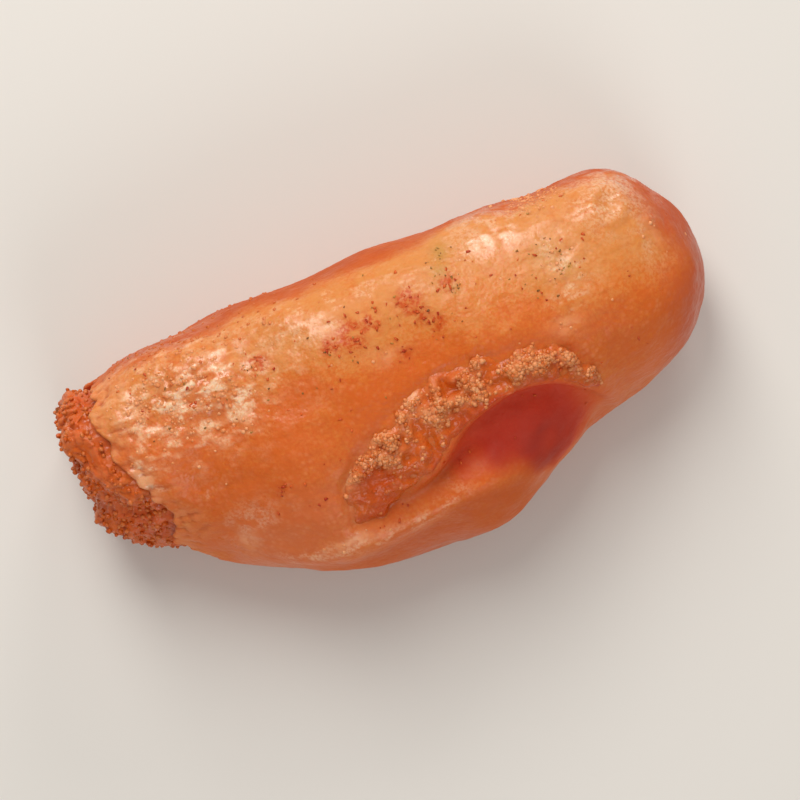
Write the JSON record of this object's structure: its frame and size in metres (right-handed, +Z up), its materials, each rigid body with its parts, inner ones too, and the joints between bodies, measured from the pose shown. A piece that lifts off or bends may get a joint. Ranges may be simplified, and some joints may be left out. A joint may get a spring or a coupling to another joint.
{
  "type": "spicy cod roe lobe",
  "caption": "Torn lobe of chili-marinated cod roe: a glossy skin sac with a slit flank, a rounded tip and an open end that shows packed grains.",
  "frame": {"origin": "middle of the bounding box, on the surface that the lobe lies on", "axes": "+X along the lobe from its torn end to its rounded tip, +Z up, -Y towards the flank with the slit"},
  "size_m": [0.0624, 0.0292, 0.0212],
  "materials": {
    "skin": "wet, thin translucent skin over packed grains, peach on top and orange-red at its edges",
    "roe": "moist orange grains under a millimetre across, with chili between them"
  },
  "bodies": {
    "root": {"sac_membrane": "skin", "egg_mass": "roe"}
  },
  "joints": []
}
